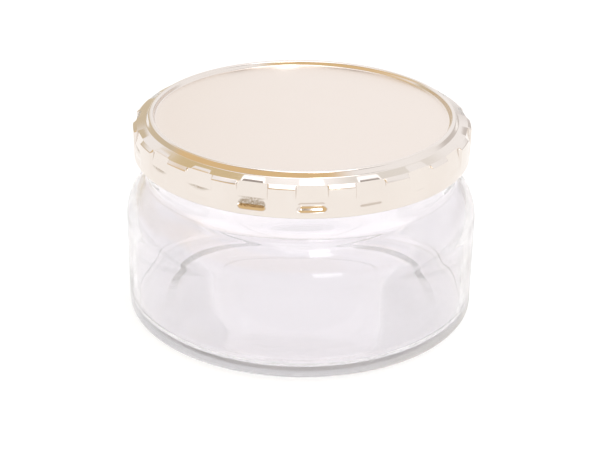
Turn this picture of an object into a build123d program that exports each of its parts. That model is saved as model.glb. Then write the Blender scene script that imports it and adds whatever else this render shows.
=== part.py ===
from build123d import *
import math
import os

# Low round storage jar of pressed glass with a one-piece metal screw cap.
# Millimetres. +Z is up, and the origin is the centre of the jar's base, on the
# surface it stands on. The front of the jar faces -Y.

# ---- driving dimensions: glass jar -----------------------------------------
body_r = 44.8            # outside radius of the body at half height
shoulder_z = 25.0        # height where the body starts to turn in
shoulder_r = 12.6        # radius of that shoulder's arc
heel_r = 1.8             # outside radius at the foot of the body
neck_r = 39.3            # outside radius of the neck
neck_fillet_r = 1.6      # hollow between shoulder and neck, outside
bore_fillet_r = 5.0      # the same inside
rim_z = 50.6             # height of the sealing rim
neck_wall = 3.0          # glass thickness in the neck
side_wall = 2.7          # glass thickness in the body
base_wall = 1.9          # glass thickness at the middle of the base
inner_heel_r = 2.4       # radius inside, between side and floor
bearing_r = 40.6         # outer edge of the ring that the jar stands on
push_up_r = 35.8         # inner edge of that ring
push_up = 0.8            # how far the middle of the base is raised
dome_r = 32.8            # outer edge of the raised middle
heel_rise = 0.9          # rise of the foot from the ring to the side, unrounded

# ---- driving dimensions: cap ------------------------------------------------
cap_r = 42.5             # outside radius of the skirt
cap_z = 42.1             # lower edge of the skirt
crest_z = 52.2           # top of the raised rim
disc_z = 51.1            # flat middle of the cap, sunk below the rim
disc_r = 37.05           # foot of the rim, inside
crest_in_r = 37.4        # raised rim, where its inner side would meet the top
crest_out_r = 38.5       # raised rim, where its outer side would meet the top
riser_r = 39.2           # foot of the rim, outside
riser_z = 50.9           # height of that foot
bevel_r = 41.6           # inner edge of the bevel between shoulder and skirt
bevel_top_z = 50.15      # height of that edge
bevel_foot_z = 49.4      # height where the bevel meets the skirt
bevel_fillet = 0.45      # rounding along both edges of the bevel
crest_fillet = 0.5       # rounding along the top of the raised rim
foot_fillet = 0.35       # rounding along both feet of the rim
sheet = 0.22             # tinplate thickness
curl_r = 0.38            # rolled bead along the lower edge

# ---- driving dimensions: pressed pattern and thread --------------------------
panel_count = 19         # shallow panels around the skirt
panel_pitch = 360 / panel_count
panel_angle = 3.4        # turn of the first panel from the front, toward +X
panel_w = 7.0            # width of a panel
panel_depth = 0.2        # depth of a panel below the skirt, at its foot
panel_lean = 10          # lean of a panel, so that it is deepest at its top
panel_top = 51.4         # panels run up through the bevel
panel_fillet = 0.5       # rounding of a panel's corners
groove_w = 6.8           # length of a thread groove, along the skirt
groove_r = 1.36          # radius of the groove's round section
groove_z = 45.25         # height of the groove under the first panel
groove_first = -5        # lowest groove, counted in panels from the first
groove_last = 11         # highest groove
thread_lead = 25.4 / 6   # six threads to the inch, right-handed, one start
thread_r = 41.2          # crest radius of the glass thread
thread_root = 1.15       # half height of the glass thread where it is buried
thread_crest = 0.45      # half height of the glass thread at its crest
thread_bite = 0.9        # how far the thread's section is buried in the neck
thread_gap = 1.85        # glass thread above the cap's groove, centre to centre
thread_turns = 1.1       # length of the glass thread
thread_spans = 3         # stretches that the thread is swept in
thread_top_panel = 5.5   # where the glass thread starts, in panels from the first

# ---- driving dimensions: sealing ring ----------------------------------------
seal_gap = 0.1           # clearance between the ring and the cap around it
seal_lift = 0.06         # clearance between the ring and the glass rim
seal_in_r = 36.6         # inner edge of the ring, beyond the raised rim
seal_out_r = 38.7        # outer edge of the ring


def turned(outline):
    """Revolve a closed outline in the XZ plane about the Z axis."""
    return revolve(Plane.XZ * make_face(outline), Axis.Z)


def at_front(shape, angle):
    """Turn a shape that was made facing -Y by an angle toward +X."""
    return Rot(0, 0, angle) * shape


def shoulder_curve(side_r, arc_r, throat_r, hollow_r):
    """The S-shaped line from a side up into a throat, and the height where it ends.

    It is an arc that leaves the side at the shoulder's height, then a smaller
    arc the other way that runs into the throat.
    """
    centre_r = side_r - arc_r
    turn = math.acos((throat_r + hollow_r - centre_r) / (arc_r + hollow_r))
    end_z = shoulder_z + (arc_r + hollow_r) * math.sin(turn)

    def on_arc(angle):
        return (centre_r + arc_r * math.cos(angle), shoulder_z + arc_r * math.sin(angle))

    def on_hollow(angle):
        return (throat_r + hollow_r * (1 - math.cos(angle)), end_z - hollow_r * math.sin(angle))

    lines = [
        ThreePointArc(on_arc(0), on_arc(turn / 2), on_arc(turn)),
        ThreePointArc(on_hollow(turn), on_hollow(turn / 2), on_hollow(0)),
    ]
    return lines, end_z


def jar_outside():
    """Everything inside the jar's outer surface, with the hollow filled."""
    rim_round = neck_wall / 2
    round_z = rim_z - rim_round
    dome_edge = (dome_r, push_up * 0.8)
    foot = FilletPolyline(
        dome_edge, (push_up_r, 0), (bearing_r, 0), (body_r, heel_rise), (body_r, shoulder_z),
        radius=[1.0, 1.5, heel_r],
    )
    shoulder, neck_z = shoulder_curve(body_r, shoulder_r, neck_r, neck_fillet_r)
    neck = Line((neck_r, neck_z), (neck_r, round_z))
    rim = ThreePointArc(
        (neck_r, round_z), (neck_r - rim_round, rim_z), (neck_r - neck_wall, round_z)
    )
    inside = Polyline((neck_r - neck_wall, round_z), (0, round_z), (0, push_up))
    dome = ThreePointArc((0, push_up), (dome_r / 2, push_up * 0.95), dome_edge)
    return turned([foot, *shoulder, neck, rim, inside, dome])


def jar_hollow():
    """The space inside the jar, carried a little above the rim."""
    bore_r = neck_r - neck_wall
    wall_r = body_r - side_wall
    floor_z = push_up + base_wall
    over_z = rim_z + 1
    floor = FilletPolyline(
        (0, floor_z), (wall_r, floor_z), (wall_r, shoulder_z), radius=inner_heel_r,
    )
    shoulder, bore_z = shoulder_curve(wall_r, shoulder_r - side_wall, bore_r, bore_fillet_r)
    close = Polyline((bore_r, bore_z), (bore_r, over_z), (0, over_z), (0, floor_z))
    return turned([floor, *shoulder, close])


def groove_height(panel):
    """Height of the cap's thread under a panel, counted from the first one."""
    return groove_z + panel * thread_lead / panel_count


def thread_span(first, last):
    """A stretch of the glass thread, between two turns counted from its low end."""
    top_z = groove_height(thread_top_panel) + thread_gap
    low_z = top_z - (thread_turns - first) * thread_lead
    angle = panel_angle + thread_top_panel * panel_pitch - 360 * (thread_turns - first)
    path = Helix(pitch=thread_lead, height=(last - first) * thread_lead, radius=neck_r)
    section = Plane.XZ * make_face(Polyline(
        (neck_r - thread_bite, -thread_root),
        (thread_r, -thread_crest),
        (thread_r, thread_crest),
        (neck_r - thread_bite, thread_root),
        close=True,
    ))
    ridge = sweep(section, path=path, is_frenet=True)
    return Pos(0, 0, low_z) * Rot(0, 0, angle - 90) * ridge


def glass_jar():
    """The jar: round body, shoulder, threaded neck and rounded sealing rim."""
    jar = jar_outside()
    span = thread_turns / thread_spans
    for i in range(thread_spans):
        jar = jar + thread_span(i * span, (i + 1) * span)
    return jar - jar_hollow()


def inset_corners(corners, inset):
    """Move a path's corners to its right-hand side, keeping each run's direction."""
    runs = []
    for start, end in zip(corners, corners[1:]):
        length = math.hypot(end[0] - start[0], end[1] - start[1])
        along = ((end[0] - start[0]) / length, (end[1] - start[1]) / length)
        runs.append(((start[0] + along[1] * inset, start[1] - along[0] * inset), along))
    moved = [runs[0][0]]
    for (p, u), (q, v) in zip(runs, runs[1:]):
        cross = u[0] * v[1] - u[1] * v[0]
        step = ((q[0] - p[0]) * v[1] - (q[1] - p[1]) * v[0]) / cross
        moved.append((p[0] + u[0] * step, p[1] + u[1] * step))
    q, v = runs[-1]
    last = (corners[-1][0] + v[1] * inset, corners[-1][1] - v[0] * inset)
    return moved + [last]


def under_cap(inset):
    """Everything under the cap's outer surface, moved inward by an inset."""
    corners = [
        (0, disc_z), (disc_r, disc_z), (crest_in_r, crest_z), (crest_out_r, crest_z),
        (riser_r, riser_z), (bevel_r, bevel_top_z), (cap_r, bevel_foot_z), (cap_r, cap_z + curl_r),
    ]
    rounding = [
        foot_fillet + inset, crest_fillet - inset, crest_fillet - inset,
        foot_fillet + inset, bevel_fillet - inset, bevel_fillet - inset,
    ]
    path = inset_corners(corners, inset)
    end = path[-1]
    outline = FilletPolyline(*path, radius=rounding)
    close = Polyline(end, (0, end[1]), path[0])
    return turned([outline, close])


def panel_cutter(inset):
    """The block pressed into the skirt for one panel, grown by an inset."""
    low_z = groove_z
    height = panel_top - low_z + inset
    face_r = cap_r - panel_depth
    block = Box(panel_w + 2 * inset, 4, height, align=(Align.CENTER, Align.MAX, Align.MIN))
    block = fillet(block.edges().filter_by(Axis.Y), panel_fillet + inset)
    return Pos(0, -face_r, low_z) * Rot(-panel_lean, 0, 0) * Pos(0, inset, -inset) * block


def groove_cutter(inset):
    """The round-ended bar pressed into the skirt for one thread groove."""
    radius = groove_r + inset
    half = groove_w / 2 - groove_r
    bar = Rot(0, 90, 0) * Cylinder(radius, 2 * half)
    bar = bar + Pos(-half, 0, 0) * Sphere(radius) + Pos(half, 0, 0) * Sphere(radius)
    tilt = math.degrees(math.atan(thread_lead / (2 * math.pi * cap_r)))
    return Rot(0, -tilt, 0) * bar


def pressed_pattern(inset):
    """All panels and thread grooves of the skirt."""
    cutters = []
    for panel in range(groove_first, groove_first + panel_count):
        angle = panel_angle + panel * panel_pitch
        cutters.append(at_front(panel_cutter(inset), angle))
        if panel <= groove_last:
            groove = Pos(0, -cap_r, groove_height(panel)) * groove_cutter(inset)
            cutters.append(at_front(groove, angle))
    return cutters


def lid_shell():
    """The cap, pressed from one sheet, with its lower edge rolled inward."""
    outside = under_cap(0)
    inside = under_cap(sheet)
    for cutter in pressed_pattern(0):
        outside = outside - cutter
    for cutter in pressed_pattern(sheet):
        inside = inside - cutter
    curl = Pos(0, 0, cap_z + curl_r) * Torus(cap_r - curl_r, curl_r)
    return outside - inside + curl


def sealing_ring():
    """The ring of sealing compound that fills the channel under the raised rim."""
    low_z = rim_z + seal_lift
    band = turned(Polyline(
        (seal_in_r, low_z), (seal_out_r, low_z), (seal_out_r, crest_z), (seal_in_r, crest_z), close=True,
    ))
    return under_cap(sheet + seal_gap) & band


def one_solid(shape):
    """The single solid that a shape is made of."""
    solids = shape.solids()
    assert len(solids) == 1
    return solids[0]


os.makedirs("parts", exist_ok=True)
for node, make in (("glass_jar", glass_jar), ("lid_shell", lid_shell), ("sealing_ring", sealing_ring)):
    piece = one_solid(make())
    piece.label = node
    export_step(piece, f"parts/{node}.step")
    box = piece.bounding_box()
    print(node, round(piece.volume, 1), box.min, box.max)
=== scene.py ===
import math

import bpy
from mathutils import Euler, Matrix, Vector, noise


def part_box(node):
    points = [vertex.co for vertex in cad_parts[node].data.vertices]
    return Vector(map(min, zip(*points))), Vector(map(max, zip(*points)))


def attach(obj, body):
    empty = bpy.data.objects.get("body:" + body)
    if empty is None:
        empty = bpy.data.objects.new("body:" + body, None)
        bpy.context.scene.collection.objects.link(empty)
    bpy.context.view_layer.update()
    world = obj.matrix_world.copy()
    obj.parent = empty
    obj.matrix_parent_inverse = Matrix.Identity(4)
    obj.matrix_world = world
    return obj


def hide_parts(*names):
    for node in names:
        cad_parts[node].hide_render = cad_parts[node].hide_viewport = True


# Looks of a low glass storage jar with a pressed metal screw cap. The frame is in
# metres, +Z up, with the origin at the centre of the jar's base. Shapes are worked
# out in millimetres and turned into metres where a mesh is made.

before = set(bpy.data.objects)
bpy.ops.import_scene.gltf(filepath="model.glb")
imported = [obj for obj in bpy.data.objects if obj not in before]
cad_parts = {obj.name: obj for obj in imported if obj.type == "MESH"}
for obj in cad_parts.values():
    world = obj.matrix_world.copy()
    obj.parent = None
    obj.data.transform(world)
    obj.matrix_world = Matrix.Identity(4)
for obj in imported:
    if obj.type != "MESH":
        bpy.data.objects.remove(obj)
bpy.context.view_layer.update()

MM = 0.001
_, jar_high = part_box("glass_jar")
lid_low, lid_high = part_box("lid_shell")

# ---- jar, in millimetres ----------------------------------------------------
BODY_R = jar_high.x / MM          # outside radius of the body
RIM_Z = jar_high.z / MM           # height of the sealing rim
SHOULDER_Z = 25.0                 # height where the body starts to turn in
SHOULDER_R = 12.6                 # radius of that shoulder's arc
HEEL_R = 1.8                      # outside radius at the foot of the body
NECK_R = 39.3                     # outside radius of the neck
NECK_FILLET = 1.6                 # hollow between shoulder and neck, outside
BORE_FILLET = 5.0                 # the same inside
NECK_WALL = 3.0                   # glass thickness in the neck
SIDE_WALL = 2.7                   # glass thickness in the body
BASE_WALL = 1.9                   # glass thickness at the middle of the base
INNER_HEEL = 2.4                  # radius inside, between side and floor
BEARING_R = 40.6                  # outer edge of the ring that the jar stands on
BEARING_FILLET = 1.5              # rounding of that edge
PUSH_UP_R = 35.8                  # inner edge of that ring
PUSH_UP_FILLET = 1.0              # rounding of that edge
PUSH_UP = 0.8                     # how far the middle of the base is raised
DOME_R = 32.8                     # outer edge of the raised middle
DOME_SAG = 0.2                    # share of that rise lost at its outer edge
HEEL_RISE = 0.9                   # rise of the foot from ring to side, unrounded
RIBS = 150                        # fine ribs on the ring that the jar stands on
RIB_DEPTH = 0.05
SWELL = 0.35                      # most that the inner surface is out of true
SWELL_ON_FLOOR = 0.3              # share of it on the floor
SWELL_ROUND = 1.6                 # how quickly it changes round the jar
SWELL_UP = 0.045                  # and up the wall, per millimetre
SWELL_CLEAR = 6                   # no swell this near the rim, and none of the wall's this low
SWELL_RIM_FADE = 10               # height over which it dies away toward the rim
SWELL_WALL_FADE = 8               # height over which floor turns to wall for it
SWELL_MIDDLE_FADE = 20            # radius inside which it dies away toward the middle

# ---- cap, in millimetres ----------------------------------------------------
CAP_R = lid_high.x / MM           # outside radius of the skirt
CAP_Z = lid_low.z / MM            # lower edge of the skirt
CREST_Z = lid_high.z / MM         # top of the raised rim
DISC_Z = CREST_Z - 1.1            # flat middle, sunk below the rim
DISC_R = 37.05                    # foot of the rim, inside
CREST_IN = 37.4                   # raised rim, inner corner before rounding
CREST_OUT = 38.5                  # raised rim, outer corner before rounding
RISER_R = 39.2                    # foot of the rim, outside
RISER_Z = CREST_Z - 1.3           # height of that foot
BEVEL_R = 41.6                    # inner edge of the bevel between shoulder and skirt
BEVEL_TOP = CREST_Z - 2.05        # height of that edge
BEVEL_FOOT = CREST_Z - 2.8        # height where the bevel meets the skirt
BEVEL_FILLET = 0.45               # rounding along both edges of the bevel
CREST_FILLET = 0.5                # rounding along the top of the raised rim
FOOT_FILLET = 0.35                # rounding along both feet of the rim
SHEET = 0.22                      # tinplate thickness
CURL_R = 0.38                     # rolled bead along the lower edge
CURL_TURN = 250                   # degrees that the sheet turns through in it
CURL_CLEAR = 0.1                  # plain stretch between the bead and the pattern

# ---- pressed pattern and thread, in millimetres and degrees ------------------
PANELS = 19                       # shallow panels around the skirt
PITCH = 360 / PANELS
PANEL_ANGLE = 3.4                 # turn of the first panel from the front, toward +X
PANEL_W = 7.0                     # flat width of a panel
PANEL_EDGE = 0.45                 # width of the step at each side
PANEL_DEPTH = 0.2                 # depth of a panel below the skirt, at its foot
PANEL_LEAN = 10                   # lean of a panel, so that it is deepest at its top
PANEL_FOOT = 0.5                  # a panel starts this far below the grooves' height
PANEL_FADE = 0.8                  # height over which it starts
PRESSED_R = BEVEL_R - 0.2         # the pattern reaches in to here
GROOVE_W = 6.8                    # length of a thread groove
GROOVE_R = 1.0                    # greatest depth of a groove
GROOVE_LIGHT = 0.22               # share of that depth far from the front
GROOVE_DEEPEST = -0.4             # where they are deepest, in panels from the first
GROOVE_FALL = 1.1                 # how quickly they grow lighter, per panel
GROOVE_HALF = 1.7                 # half its height, lips included
GROOVE_Z = 45.25                  # height of the groove under the first panel
GROOVE_FIRST = -5                 # lowest groove, counted in panels from the first
GROOVE_LAST = 11                  # highest groove
LEAD = 25.4 / 6                   # rise of the thread in one turn
THREAD_R = 41.2                   # crest radius of the glass thread
THREAD_ROOT = 1.05                # half height of the glass thread at the neck
THREAD_CREST = 0.35               # half height at its crest
THREAD_GAP = 1.85                 # glass thread above the cap's groove
THREAD_TURNS = 1.1                # length of the glass thread
THREAD_TOP_PANEL = 5.5            # where it starts, in panels from the first
THREAD_TAPER = 14                 # degrees over which each end dies away

# ---- sealing ring, in millimetres --------------------------------------------
SEAL_GAP = 0.1                    # clearance between the ring and the cap around it
SEAL_LIFT = 0.06                  # clearance between the ring and the glass rim
SEAL_IN = 36.6                    # inner edge of the ring
SEAL_OUT = 38.7                   # outer edge of the ring

# ---- how finely the meshes are divided -----------------------------------------
JAR_STEPS = 450                   # steps round the jar
SEAL_STEPS = 256                  # steps round the sealing ring
GLASS_RUN = 1.2                   # longest run along the jar's outline, in millimetres
NECK_RUN = 0.8                    # the same on the plain part of the neck
THREAD_RUN = 0.16                 # the same where the thread is
THREAD_FROM = 42.0                # height where that part begins
CAP_RUN = 0.5                     # longest run along the top of the cap
SKIRT_RUN = 0.25                  # the same on its bevel and skirt
SEAL_RUN = 0.3                    # the same on the sealing ring
DISC_RINGS = (0, 2, 6, 12, 18, 24, 30, 34)   # radii of the rings in the flat middle
FACE_STEPS = 14                   # steps across half of a panel's face
EDGE_STEPS = 9                    # steps across the strip along a panel's side
EDGE_BAND = 0.6                   # half width of that strip, in degrees
GAP_STEPS = 4                     # steps across half of the plain skirt between panels
TINY = 1e-6                       # shorter than this counts as nothing

# ---- camera -------------------------------------------------------------------
CAMERA_AT = (0.0, -0.3494, 0.1878)
CAMERA_DOWN = 25.61               # degrees below the horizon
CAMERA_ROLL = 0.77                # degrees about its own line of sight
CAMERA_YAW = 0.034                # degrees to the left
CAMERA_LENS = 89.26               # millimetres
CAMERA_SENSOR = 36.0              # width of the sensor, in millimetres
CAMERA_CLIP = (0.01, 50)          # nearest and farthest that it sees, in metres

# ---- looks: glass ----------------------------------------------------------------
# Noise scales are per metre. A pair that ends in _FROM is where something begins and
# where it is full. A pair that ends in _BUMP is strength, and height in millimetres.
GLASS_DEEP = (0.972, 0.948, 0.98, 1)
GLASS_PALE = (0.99, 0.972, 0.996, 1)
GLASS_IOR = 1.51
GLASS_ALPHA = 0.8                 # below 1 so that light isn't trapped in thick glass
GLASS_WAVES = 45                  # scale of the waves in the glass
GLASS_GRAIN = 900                 # scale of the fine grain in its skin
GLASS_GRAIN_SHARE = 0.012         # height of that grain beside the waves
GLASS_ROUGH = 0.03                # roughness of its roughest spots
GLASS_ROUGH_FROM = (0.5, 0.75)    # level of the grain that makes such a spot
GLASS_BUMP = (0.25, 0.4)
SEAM_W = 0.35                     # half width of a mould seam, in millimetres
SEAM_SHARE = 0.1                  # height of a seam beside the waves

# ---- looks: cap --------------------------------------------------------------------
LACQUER_DEEP = (0.77, 0.705, 0.65, 1)
LACQUER_PALE = (0.83, 0.775, 0.725, 1)
SATIN_DEEP = (0.81, 0.735, 0.675, 1)
SATIN_PALE = (0.87, 0.795, 0.735, 1)
GROOVE_SHADE = (0.30, 0.22, 0.13, 1)    # painted shade, dark brown, deep in the grooves left of the front
BARE_TIN = (0.86, 0.84, 0.82, 1)  # scratches
LACQUER_ROUGH = 0.09              # roughness of the glossy skirt and rim
LACQUER_CLOUD = 0.06              # added where the lacquer is cloudy
SATIN_ROUGH = 0.22                # added in the middle of the cap
SCRATCH_ROUGH = 0.08              # added in a scratch
SATIN_FROM = (0.1, -0.4)          # beyond the edge of the flat middle, in millimetres
LID_CLOUDS = 90                   # scale of the clouds in the lacquer
LID_GRAIN = 5200                  # scale of its grain
LID_BUMP = (0.12, 0.02)
SHADE_GRAIN = 4200                # scale of the grain in the painted shade
SHADE_GRAIN_FROM = (0.36, 0.56)         # level of that grain that takes the painted shade
SHADE_DEPTH_FROM = (0.25, 0.45)   # below the skirt, in millimetres
SHADE_HEIGHT_FROM = (1.5, 1.2)    # above GROOVE_Z, in millimetres
SHADE_SIDE_FROM = (-5, -9)        # along X, left of the front, in millimetres
SHADE_COVER = 0.95                # how much of the colour it takes
SHADE_GRAIN_SHARE = 1.5                 # height of the painted shade's grain in the bump, beside the lid grain
SCRATCH_FROM = (0.62, 0.78)       # level of their noise that is a scratch
SCRATCH_TURN = 0.4                # direction of the scratches, in radians
SCRATCH_SCALE = (60.0, 2600.0, 60.0)   # coarse along a scratch and fine across it
SCRATCH_COVER = 0.25              # how much of the colour a scratch takes
TURNED_RINGS = 9000.0             # fine rings in the middle, in radians per metre
RING_SHARE = 0.12                 # their height beside the grain

# ---- looks: sealing ring -----------------------------------------------------------
SEAL_DEEP = (0.80, 0.77, 0.71, 1)
SEAL_PALE = (0.89, 0.87, 0.82, 1)
SEAL_CLOUDS = 220                 # scale of the clouds in its colour
SEAL_SKIN = 2400                  # scale of its uneven skin
SEAL_ROUGH = 0.36                 # least roughness
SEAL_ROUGH_MORE = 0.2             # added where the skin is high
SEAL_BUMP = (0.3, 0.05)

# ---- light -------------------------------------------------------------------------
FLOOR_GREY = (0.25, 0.25, 0.25, 1)
FLOOR_GLOW = 0.83                 # light that the floor gives by itself
FLOOR = (-1.2, 3.0, -3.0, 0.45)   # its left, right, near and far edges, in metres
BACKDROP = (1.05, 1.05, 1.05, 1)  # what the camera sees past the floor
LIGHT_AIM = (0, 0, 0.03)          # place that the softbox points at, in metres
WALLS = (1.06, 1.055, 1.07, 1)    # light from all round
ZENITH = (1.5, 1.5, 1.55, 1)      # light overhead
ZENITH_FROM = 62                  # elevation where it begins
ZENITH_SOFT = 14                  # width of its soft edge

# Patches of other light, each laid over the last. Degrees: azimuth from and to, from
# the front toward +X, elevation from and to, soft edge of each. Then the colour.
ROOM = [
    (-75, 75, 38, 72, 20, 12, (0.42, 0.38, 0.36, 1)),        # dim, high in front
    (-110, 30, 9, 46, 24, 10, (0.84, 0.61, 0.33, 1)),        # amber, in front and left
    (-80, 80, -1, 8, 20, 3, (0.78, 0.72, 0.66, 1)),          # pale band along the horizon
    (-172, -100, -12, 22, 14, 10, (0.72, 0.62, 0.46, 1)),    # warm, low at the back left
    (115, 165, -12, 12, 20, 10, (0.70, 0.66, 0.64, 1)),      # grey, low at the back right
    (-166, -120, 38, 60, 6, 8, (0.76, 0.61, 0.36, 1)),       # warm, high at the back left
    (150, 168, 38, 60, 10, 8, (0.90, 0.88, 0.85, 1)),        # pale, high at the back right
    (8, 26, 45, 60, 1.5, 1.5, (5, 5, 5, 1)),                 # bright window
    (8, 26, 51.6, 53, 1.5, 0.8, (0.8, 0.8, 0.8, 1)),         # bar across that window
    (8, 26, 0, 7, 2, 2, (4, 4, 4, 1)),                       # bright strip below it
]


# ==== outlines ==================================================================

def smooth(t):
    """0 below 0, 1 above 1, and an even S between."""
    t = min(max(t, 0.0), 1.0)
    return t * t * (3 - 2 * t)


def arc(centre, radius, start, end, steps):
    """Points on an arc, angles in degrees from +r, start point left out."""
    points = []
    for i in range(1, steps + 1):
        a = math.radians(start + (end - start) * i / steps)
        points.append((centre[0] + radius * math.cos(a), centre[1] + radius * math.sin(a)))
    return points


def rounded_path(corners, radii, steps=8):
    """A run of straight lines with every inner corner rounded to its radius."""
    points = [corners[0]]
    for before, corner, after, radius in zip(corners, corners[1:], corners[2:], radii):
        a, b, c = Vector(before), Vector(corner), Vector(after)
        u, v = (a - b).normalized(), (c - b).normalized()
        half = u.angle(v) / 2
        reach = radius / math.tan(half)
        centre = b + (u + v).normalized() * (radius / math.sin(half))
        start, end = b + u * reach - centre, b + v * reach - centre
        turn = math.atan2(start.x * end.y - start.y * end.x, start.dot(end))
        for i in range(steps + 1):
            p = centre + Matrix.Rotation(turn * i / steps, 2) @ start
            points.append((p.x, p.y))
    points.append(corners[-1])
    return points


def spaced(points, longest):
    """The same path with no run longer than a given length."""
    out = [points[0]]
    for (r0, z0), (r1, z1) in zip(points, points[1:]):
        length = math.hypot(r1 - r0, z1 - z0)
        if length < TINY:
            continue
        n = max(1, math.ceil(length / longest))
        out += [(r0 + (r1 - r0) * i / n, z0 + (z1 - z0) * i / n) for i in range(1, n + 1)]
    return out


def shoulder_points(side_r, arc_r, throat_r, hollow_r, steps=24):
    """From the side up over the shoulder and through a hollow into the throat."""
    centre_r = side_r - arc_r
    turn = math.degrees(math.acos((throat_r + hollow_r - centre_r) / (arc_r + hollow_r)))
    end_z = SHOULDER_Z + (arc_r + hollow_r) * math.sin(math.radians(turn))
    points = [(side_r, SHOULDER_Z)]
    points += arc((centre_r, SHOULDER_Z), arc_r, 0, turn, steps)
    points += arc((throat_r + hollow_r, end_z), hollow_r, 180 + turn, 180, steps // 2)
    return points


def inset_path(points, inset):
    """A path moved to its right-hand side by an inset, point by point."""
    moved = []
    for i, (r, z) in enumerate(points):
        r0, z0 = points[max(i - 1, 0)]
        r1, z1 = points[min(i + 1, len(points) - 1)]
        length = math.hypot(r1 - r0, z1 - z0)
        moved.append((r + (z1 - z0) / length * inset, z - (r1 - r0) / length * inset))
    return moved


# ==== meshes ====================================================================

def unmoved(r, z, angle):
    """A point of an outline, left where it is."""
    return r, z


def lathe(name, outline, angles, places=unmoved, closed=False):
    """Turn an outline about Z.

    angles are in degrees from the front, toward +X. places(r, z, angle) may move a
    point. It can be a list, with one function for each point of the outline. A point
    on the axis isn't moved and becomes one vertex. closed joins the outline's end to
    its start.
    """
    if not isinstance(places, list):
        places = [places] * len(outline)
    verts, rows = [], []
    for (r, z), place in zip(outline, places):
        if r < TINY:
            rows.append([len(verts)] * len(angles))
            verts.append((0.0, 0.0, z * MM))
            continue
        row = []
        for angle in angles:
            placed_r, placed_z = place(r, z, angle)
            a = math.radians(angle)
            row.append(len(verts))
            verts.append((placed_r * math.sin(a) * MM, -placed_r * math.cos(a) * MM, placed_z * MM))
        rows.append(row)
    pairs = list(zip(rows, rows[1:]))
    if closed:
        pairs.append((rows[-1], rows[0]))
    faces = []
    for low, high in pairs:
        for i in range(len(angles)):
            j = (i + 1) % len(angles)
            face = [low[i], low[j], high[j], high[i]]
            face = [v for n, v in enumerate(face) if v not in face[:n]]
            if len(face) > 2:
                faces.append(face)
    mesh = bpy.data.meshes.new(name)
    mesh.from_pydata(verts, [], faces)
    mesh.validate()
    mesh.polygons.foreach_set("use_smooth", [True] * len(mesh.polygons))
    piece = bpy.data.objects.new(name, mesh)
    bpy.context.scene.collection.objects.link(piece)
    return piece


def even_angles(count):
    """Angles that divide a full turn evenly."""
    return [360 * i / count for i in range(count)]


# ---- glass ---------------------------------------------------------------------

def thread_height(angle, z):
    """How far the glass thread stands out of the neck at a place."""
    top_z = GROOVE_Z + THREAD_TOP_PANEL * LEAD / PANELS + THREAD_GAP
    top_angle = PANEL_ANGLE + THREAD_TOP_PANEL * PITCH
    best = 0.0
    for turn in (-2, -1, 0, 1):
        back = top_angle - (angle + 360 * turn)
        if not 0 <= back <= 360 * THREAD_TURNS:
            continue
        centre = top_z - LEAD * back / 360
        flank = (THREAD_ROOT - abs(z - centre)) / (THREAD_ROOT - THREAD_CREST)
        ends = smooth(back / THREAD_TAPER) * smooth((360 * THREAD_TURNS - back) / THREAD_TAPER)
        best = max(best, smooth(flank) * ends)
    return best * (THREAD_R - NECK_R)


def glass_outer(r, z, angle):
    """The outer surface, with its thread and the ribbed ring that it stands on."""
    if z > THREAD_FROM and abs(r - NECK_R) < TINY:
        r += thread_height(angle, z)
    if z < RIB_DEPTH and PUSH_UP_R < r < BEARING_R:
        across = 1 - abs(2 * (r - PUSH_UP_R) / (BEARING_R - PUSH_UP_R) - 1)
        z += RIB_DEPTH * smooth(across * 3) * (0.5 - 0.5 * math.cos(math.radians(angle * RIBS)))
    return r, z


def glass_inner(r, z, angle):
    """The inner surface, a little uneven as pressed glass is, and true at rim and centre."""
    a = math.radians(angle)
    where = Vector((math.cos(a) * SWELL_ROUND, math.sin(a) * SWELL_ROUND, z * SWELL_UP))
    below_rim = smooth((RIM_Z - SWELL_CLEAR - z) / SWELL_RIM_FADE)
    off_centre = smooth(r / SWELL_MIDDLE_FADE)
    on_wall = smooth((z - SWELL_CLEAR) / SWELL_WALL_FADE)
    swell = noise.noise(where) * SWELL * below_rim * off_centre
    return r - swell * on_wall, z + swell * SWELL_ON_FLOOR * (1 - on_wall)


def make_jar():
    """One closed mesh: out along the base, up the side, over the rim and down inside."""
    rim_round = NECK_WALL / 2
    round_z = RIM_Z - rim_round
    dome = [(DOME_R * t, PUSH_UP * (1 - DOME_SAG * t * t)) for t in (0, 0.25, 0.5, 0.75)]
    foot = rounded_path(
        [(DOME_R, PUSH_UP * (1 - DOME_SAG)), (PUSH_UP_R, 0), (BEARING_R, 0), (BODY_R, HEEL_RISE),
         (BODY_R, SHOULDER_Z)],
        [PUSH_UP_FILLET, BEARING_FILLET, HEEL_R], steps=12,
    )
    shoulder = shoulder_points(BODY_R, SHOULDER_R, NECK_R, NECK_FILLET)
    neck = spaced([(NECK_R, shoulder[-1][1]), (NECK_R, THREAD_FROM)], NECK_RUN)
    neck += spaced([(NECK_R, THREAD_FROM), (NECK_R, round_z)], THREAD_RUN)[1:]
    rim = arc((NECK_R - rim_round, round_z), rim_round, 0, 180, steps=18)
    outer = spaced(dome + foot, GLASS_RUN) + shoulder[1:] + neck[1:] + rim

    bore_r = NECK_R - NECK_WALL
    wall_r = BODY_R - SIDE_WALL
    floor_z = PUSH_UP + BASE_WALL
    inner = shoulder_points(wall_r, SHOULDER_R - SIDE_WALL, bore_r, BORE_FILLET)[::-1]
    inner = spaced([(bore_r, round_z), inner[0]], GLASS_RUN)[1:] + inner[1:]
    floor = rounded_path([(wall_r, SHOULDER_Z), (wall_r, floor_z), (0, floor_z)], [INNER_HEEL], steps=16)
    inner = inner + spaced(floor, GLASS_RUN)[1:]

    places = [glass_outer] * len(outer) + [glass_inner] * len(inner)
    return lathe("glass_body", outer + inner, even_angles(JAR_STEPS), places)


# ---- cap -----------------------------------------------------------------------

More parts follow.
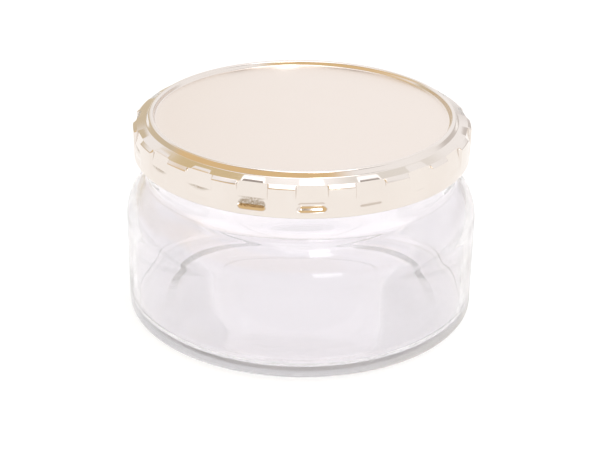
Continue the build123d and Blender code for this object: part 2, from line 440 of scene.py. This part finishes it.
def cap_outline():
    """The sheet's outer face from the middle of the cap to the end of its curl."""
    corners = [
        (0, DISC_Z), (DISC_R, DISC_Z), (CREST_IN, CREST_Z), (CREST_OUT, CREST_Z),
        (RISER_R, RISER_Z), (BEVEL_R, BEVEL_TOP), (CAP_R, BEVEL_FOOT), (CAP_R, CAP_Z + CURL_R),
    ]
    radii = [FOOT_FILLET, CREST_FILLET, CREST_FILLET, FOOT_FILLET, BEVEL_FILLET, BEVEL_FILLET]
    path = rounded_path(corners, radii, steps=9)
    top = [p for p in path if p[0] < PRESSED_R]
    skirt = [p for p in path if p[0] >= PRESSED_R]
    disc = [(r, DISC_Z) for r in DISC_RINGS]
    curl = arc((CAP_R - CURL_R, CAP_Z + CURL_R), CURL_R, 0, -CURL_TURN, steps=14)
    return disc + spaced(top[1:], CAP_RUN) + spaced(skirt, SKIRT_RUN) + curl


def panel_share(offset, z):
    """1 on a panel's face, 0 off it. offset is in millimetres along the skirt."""
    side = (PANEL_W / 2 + PANEL_EDGE - abs(offset)) / PANEL_EDGE
    return smooth(side) * smooth((z - GROOVE_Z + PANEL_FOOT) / PANEL_FADE)


def groove_depth(offset, z, panel):
    """Depth of the thread groove at a place on the skirt."""
    if not GROOVE_FIRST <= panel <= GROOVE_LAST:
        return 0.0
    slope = LEAD / (2 * math.pi * CAP_R)
    centre = GROOVE_Z + panel * LEAD / PANELS + offset * slope
    half = GROOVE_W / 2 - GROOVE_R
    beyond = max(abs(offset) - half, 0.0)
    d = math.hypot(beyond, z - centre) / GROOVE_HALF
    if d >= 1:
        return 0.0
    # pressed well at the front and only lightly elsewhere
    away = (panel - GROOVE_DEEPEST) * GROOVE_FALL
    strength = GROOVE_LIGHT + (1 - GROOVE_LIGHT) * math.exp(-away ** 2)
    return GROOVE_R * strength * (0.5 + 0.5 * math.cos(math.pi * d))


def cap_place(r, z, angle):
    """Press panels and grooves into the skirt."""
    if r < PRESSED_R or z < CAP_Z + 2 * CURL_R + CURL_CLEAR:
        return r, z
    index = round((angle - PANEL_ANGLE) / PITCH)
    offset_angle = angle - PANEL_ANGLE - index * PITCH
    panel = (index - GROOVE_FIRST) % PANELS + GROOVE_FIRST
    offset = math.radians(offset_angle) * CAP_R
    depth = PANEL_DEPTH + (z - GROOVE_Z) * math.tan(math.radians(PANEL_LEAN))
    face_r = (CAP_R - depth) / math.cos(math.radians(offset_angle))
    sunk = max(r - face_r, 0.0) * panel_share(offset, z)
    groove = groove_depth(offset, z, panel)
    return r - (sunk ** 3 + groove ** 3) ** (1 / 3), z


def panel_angles():
    """Angles round the cap, close together at the panels' sides."""
    edge = math.degrees((PANEL_W / 2 + PANEL_EDGE / 2) / CAP_R)
    half = PITCH / 2
    near, far = edge - EDGE_BAND, edge + EDGE_BAND
    face = [near * i / FACE_STEPS for i in range(FACE_STEPS)]
    side = [near + 2 * EDGE_BAND * i / EDGE_STEPS for i in range(EDGE_STEPS + 1)]
    gap = [far + (half - far) * i / GAP_STEPS for i in range(1, GAP_STEPS)]
    right = face + side + gap
    local = [-a for a in right[::-1] if a > 0] + right + [half]
    return [PANEL_ANGLE + p * PITCH + a for p in range(PANELS) for a in local]


def solidify(piece, thickness):
    """Give a sheet its thickness on the inner side and make it final."""
    mod = piece.modifiers.new("thickness", "SOLIDIFY")
    mod.thickness = thickness
    mod.offset = -1
    graph = bpy.context.evaluated_depsgraph_get()
    mesh = bpy.data.meshes.new_from_object(piece.evaluated_get(graph))
    piece.modifiers.clear()
    piece.data = mesh
    return piece


def make_lid():
    """The cap's sheet, with its pattern pressed in."""
    piece = lathe("lid_sheet", cap_outline(), panel_angles(), cap_place)
    return solidify(piece, -SHEET * MM)


# ---- sealing ring ---------------------------------------------------------------

def make_seal():
    """The ring fills the channel under the cap's raised rim."""
    rim_and_skirt = cap_outline()[len(DISC_RINGS):]
    inside = inset_path(spaced(rim_and_skirt, SEAL_RUN), SHEET + SEAL_GAP)
    top = [(r, z) for r, z in inside if SEAL_IN < r < SEAL_OUT and z > RIM_Z]
    low_z = RIM_Z + SEAL_LIFT
    outline = [(SEAL_IN, low_z), (SEAL_IN, top[0][1])] + top + [(SEAL_OUT, top[-1][1]), (SEAL_OUT, low_z)]
    return lathe("sealing_compound", outline, even_angles(SEAL_STEPS), closed=True)


# ==== materials ==================================================================

class Nodes:
    """A small helper for building a material's node tree."""

    def __init__(self, name):
        self.material = bpy.data.materials.new(name)
        self.material.use_nodes = True
        self.tree = self.material.node_tree
        self.shader = self.tree.nodes["Principled BSDF"]

    def add(self, kind, **sockets):
        """A new node, with its sockets set by name. A _ stands for a space."""
        node = self.tree.nodes.new("ShaderNode" + kind)
        for name, value in sockets.items():
            self.set(node, name.replace("_", " "), value)
        return node

    def set(self, node, name, value):
        """Link another node's output to a socket, or give the socket a value."""
        if isinstance(value, bpy.types.NodeSocket):
            self.tree.links.new(value, node.inputs[name])
        else:
            node.inputs[name].default_value = value

    def math(self, operation, *values):
        """The result of one calculation on outputs or numbers."""
        node = self.add("Math")
        node.operation = operation
        for i, value in enumerate(values):
            self.set(node, i, value)
        return node.outputs[0]

    def noise(self, place, scale, detail):
        """An even noise from 0 to 1. Its scale is per metre."""
        node = self.add("TexNoise", Vector=place, Scale=float(scale), Detail=float(detail))
        return node.outputs[0]

    def fade(self, value, start, end):
        """0 at the start and 1 at the end, clamped, with a soft turn at both."""
        node = self.add("MapRange", Value=value)
        node.interpolation_type = "SMOOTHSTEP"
        low, high = min(start, end), max(start, end)
        self.set(node, "From Min", low)
        self.set(node, "From Max", high)
        self.set(node, "To Min", float(start > end))
        self.set(node, "To Max", float(start < end))
        return node.outputs["Result"]

    def blend(self, share, under, over):
        """One colour over another, by a share from 0 to 1."""
        node = self.add("Mix")
        node.data_type = "RGBA"
        # the sockets for numbers and colours share their names, so these go by place
        self.set(node, 0, share)
        self.set(node, 6, under)
        self.set(node, 7, over)
        return node.outputs[2]

    def bump(self, height, strength, millimetres):
        """A normal that follows a height, where 1 stands for this many millimetres."""
        node = self.add("Bump", Strength=strength, Distance=millimetres * MM, Height=height)
        return node.outputs["Normal"]

    def finish(self, **sockets):
        """Set the shader's sockets and give back the material."""
        for name, value in sockets.items():
            self.set(self.shader, name.replace("_", " "), value)
        return self.material


def glass_material():
    """Clear glass with a faint violet tint, slight waves and two mould seams."""
    n = Nodes("clear_glass")
    place = n.add("TexCoord").outputs["Object"]
    waves = n.noise(place, GLASS_WAVES, 2)
    grain = n.noise(place, GLASS_GRAIN, 3)
    split = n.add("SeparateXYZ", Vector=place).outputs
    seam = n.fade(n.math("ABSOLUTE", split["Y"]), SEAM_W * MM, 0.0)
    height = n.math("MULTIPLY_ADD", seam, SEAM_SHARE, waves)
    height = n.math("MULTIPLY_ADD", grain, GLASS_GRAIN_SHARE, height)
    rough = n.math("MULTIPLY", n.fade(grain, *GLASS_ROUGH_FROM), GLASS_ROUGH)
    return n.finish(
        Base_Color=n.blend(grain, GLASS_DEEP, GLASS_PALE), Roughness=rough, IOR=GLASS_IOR,
        Transmission_Weight=1.0, Alpha=GLASS_ALPHA, Normal=n.bump(height, *GLASS_BUMP),
    )


def lid_material():
    """Tinplate under gold lacquer: satin middle, glossy rim and skirt, fine wear, and painted shade deep
    in the grooves left of the front.
    """
    n = Nodes("gold_tinplate")
    place = n.add("TexCoord").outputs["Object"]
    split = n.add("SeparateXYZ", Vector=place).outputs
    x_squared = n.math("MULTIPLY", split["X"], split["X"])
    y_squared = n.math("MULTIPLY", split["Y"], split["Y"])
    radius = n.math("SQRT", n.math("ADD", x_squared, y_squared))
    middle = n.fade(radius, *[(DISC_R + beyond) * MM for beyond in SATIN_FROM])
    cloud = n.noise(place, LID_CLOUDS, 4)
    grain = n.noise(place, LID_GRAIN, 2)
    along = n.add("Mapping", Vector=place, Rotation=(0.0, 0.0, SCRATCH_TURN), Scale=SCRATCH_SCALE)
    scratches = n.fade(n.noise(along.outputs["Vector"], 1, 3), *SCRATCH_FROM)
    # painted shade: dark brown with a fine grain, deep in the grooves left of the front; the grain also
    # goes into the bump
    sunk = n.fade(radius, *[(CAP_R - depth) * MM for depth in SHADE_DEPTH_FROM])
    low = n.fade(split["Z"], *[(GROOVE_Z + height) * MM for height in SHADE_HEIGHT_FROM])
    pressed = n.math("MULTIPLY", sunk, low)
    left = n.fade(split["X"], *[x * MM for x in SHADE_SIDE_FROM])
    shade_mottle = n.fade(n.noise(place, SHADE_GRAIN, 5), *SHADE_GRAIN_FROM)
    painted_shade = n.math("MULTIPLY", n.math("MULTIPLY", pressed, left), shade_mottle)
    shine = n.blend(cloud, LACQUER_DEEP, LACQUER_PALE)
    colour = n.blend(middle, shine, n.blend(grain, SATIN_DEEP, SATIN_PALE))
    # the painted shade in the grooves is laid over the lacquer here
    colour = n.blend(n.math("MULTIPLY", painted_shade, SHADE_COVER), colour, GROOVE_SHADE)
    colour = n.blend(n.math("MULTIPLY", scratches, SCRATCH_COVER), colour, BARE_TIN)
    rough = n.math("MULTIPLY_ADD", cloud, LACQUER_CLOUD, LACQUER_ROUGH)
    rough = n.math("MULTIPLY_ADD", middle, SATIN_ROUGH, rough)
    rough = n.math("MULTIPLY_ADD", scratches, SCRATCH_ROUGH, rough)
    rings = n.math("SINE", n.math("MULTIPLY", radius, TURNED_RINGS))
    height = n.math("MULTIPLY_ADD", n.math("MULTIPLY", rings, middle), RING_SHARE, grain)
    height = n.math("MULTIPLY_ADD", painted_shade, SHADE_GRAIN_SHARE, height)
    return n.finish(
        Base_Color=colour, Metallic=1.0, Roughness=rough, Normal=n.bump(height, *LID_BUMP),
    )


def seal_material():
    """Off-white plastisol with a fine uneven skin."""
    n = Nodes("sealing_compound")
    place = n.add("TexCoord").outputs["Object"]
    cloud = n.noise(place, SEAL_CLOUDS, 3)
    skin = n.noise(place, SEAL_SKIN, 3)
    colour = n.blend(cloud, SEAL_DEEP, SEAL_PALE)
    rough = n.math("MULTIPLY_ADD", skin, SEAL_ROUGH_MORE, SEAL_ROUGH)
    return n.finish(Base_Color=colour, Roughness=rough, Normal=n.bump(skin, *SEAL_BUMP))


# ==== pieces =====================================================================

def dress(piece, material, body, node):
    """Give a piece its material and the body it moves with, and hide the CAD node it stands for."""
    piece.data.materials.clear()
    piece.data.materials.append(material)
    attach(piece, body)
    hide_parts(node)


dress(make_jar(), glass_material(), "jar", "glass_jar")
dress(make_lid(), lid_material(), "lid", "lid_shell")
dress(make_seal(), seal_material(), "seal", "sealing_ring")


# ==== stage ======================================================================

def make_floor():
    """A plain floor that gives light, so that it stays white under the glass."""
    mesh = bpy.data.meshes.new("floor")
    x0, x1, y0, y1 = FLOOR
    mesh.from_pydata([(x0, y0, 0), (x1, y0, 0), (x1, y1, 0), (x0, y1, 0)], [], [(0, 1, 2, 3)])
    floor = bpy.data.objects.new("floor", mesh)
    bpy.context.scene.collection.objects.link(floor)
    n = Nodes("floor")
    floor.data.materials.append(n.finish(
        Base_Color=FLOOR_GREY, Roughness=1.0, Specular_IOR_Level=0.0,
        Emission_Color=(1, 1, 1, 1), Emission_Strength=FLOOR_GLOW,
    ))


def softbox(name, azimuth, elevation, distance, width, height, power):
    """A rectangular light aimed at the jar. Azimuth is from the front toward +X."""
    a, e = math.radians(azimuth), math.radians(elevation)
    away = Vector((math.sin(a) * math.cos(e), -math.cos(a) * math.cos(e), math.sin(e)))
    light = bpy.data.lights.new(name, "AREA")
    light.shape = "RECTANGLE"
    light.size, light.size_y, light.energy = width, height, power
    lamp = bpy.data.objects.new(name, light)
    bpy.context.scene.collection.objects.link(lamp)
    lamp.location = Vector(LIGHT_AIM) + away * distance
    lamp.rotation_euler = away.to_track_quat("Z", "Y").to_euler()


class WorldNodes(Nodes):
    """The same helper for the surroundings, where a direction is the only input."""

    def __init__(self, name):
        self.world = bpy.data.worlds.new(name)
        self.world.use_nodes = True
        self.tree = self.world.node_tree
        self.shader = self.tree.nodes["Background"]
        direction = self.add("TexCoord").outputs["Generated"]
        split = self.add("SeparateXYZ", Vector=direction).outputs
        behind = self.math("MULTIPLY", split["Y"], -1.0)
        self.azimuth = self.math("ARCTAN2", split["X"], behind)
        self.elevation = self.math("ARCSINE", split["Z"])

    def step(self, value, at, soft):
        """0 below an angle in degrees and 1 above it, with a soft edge."""
        return self.fade(value, math.radians(at - soft / 2), math.radians(at + soft / 2))

    def window(self, left, right, low, high, soft_a, soft_e):
        """1 inside a range of azimuth and elevation, 0 outside it."""
        across = self.math("SUBTRACT", self.step(self.azimuth, left, soft_a),
                           self.step(self.azimuth, right, soft_a))
        up = self.math("SUBTRACT", self.step(self.elevation, low, soft_e),
                       self.step(self.elevation, high, soft_e))
        return self.math("MULTIPLY", across, up)


def make_world():
    """A white room with patches of other light, and a plain backdrop for the camera."""
    n = WorldNodes("studio")
    colour = n.blend(n.step(n.elevation, ZENITH_FROM, ZENITH_SOFT), WALLS, ZENITH)
    for *where, over in ROOM:
        colour = n.blend(n.window(*where), colour, over)
    seen = n.add("LightPath").outputs["Is Camera Ray"]
    n.set(n.shader, "Color", n.blend(seen, colour, BACKDROP))
    bpy.context.scene.world = n.world


def make_camera():
    """The camera, from a little above, with its small yaw and roll."""
    camera = bpy.data.objects.new("camera", bpy.data.cameras.new("camera"))
    bpy.context.scene.collection.objects.link(camera)
    bpy.context.scene.camera = camera
    camera.data.lens = CAMERA_LENS
    camera.data.sensor_width = CAMERA_SENSOR
    camera.data.clip_start, camera.data.clip_end = CAMERA_CLIP
    tilt = Euler((math.radians(90 - CAMERA_DOWN), 0, math.radians(CAMERA_YAW))).to_matrix()
    roll = Matrix.Rotation(math.radians(CAMERA_ROLL), 3, "Z")
    camera.matrix_world = Matrix.Translation(CAMERA_AT) @ (tilt @ roll).to_4x4()


make_floor()
make_world()
softbox("key", azimuth=20, elevation=75, distance=1.4, width=1.0, height=1.0, power=4)
make_camera()
bpy.context.scene.view_settings.view_transform = "Standard"
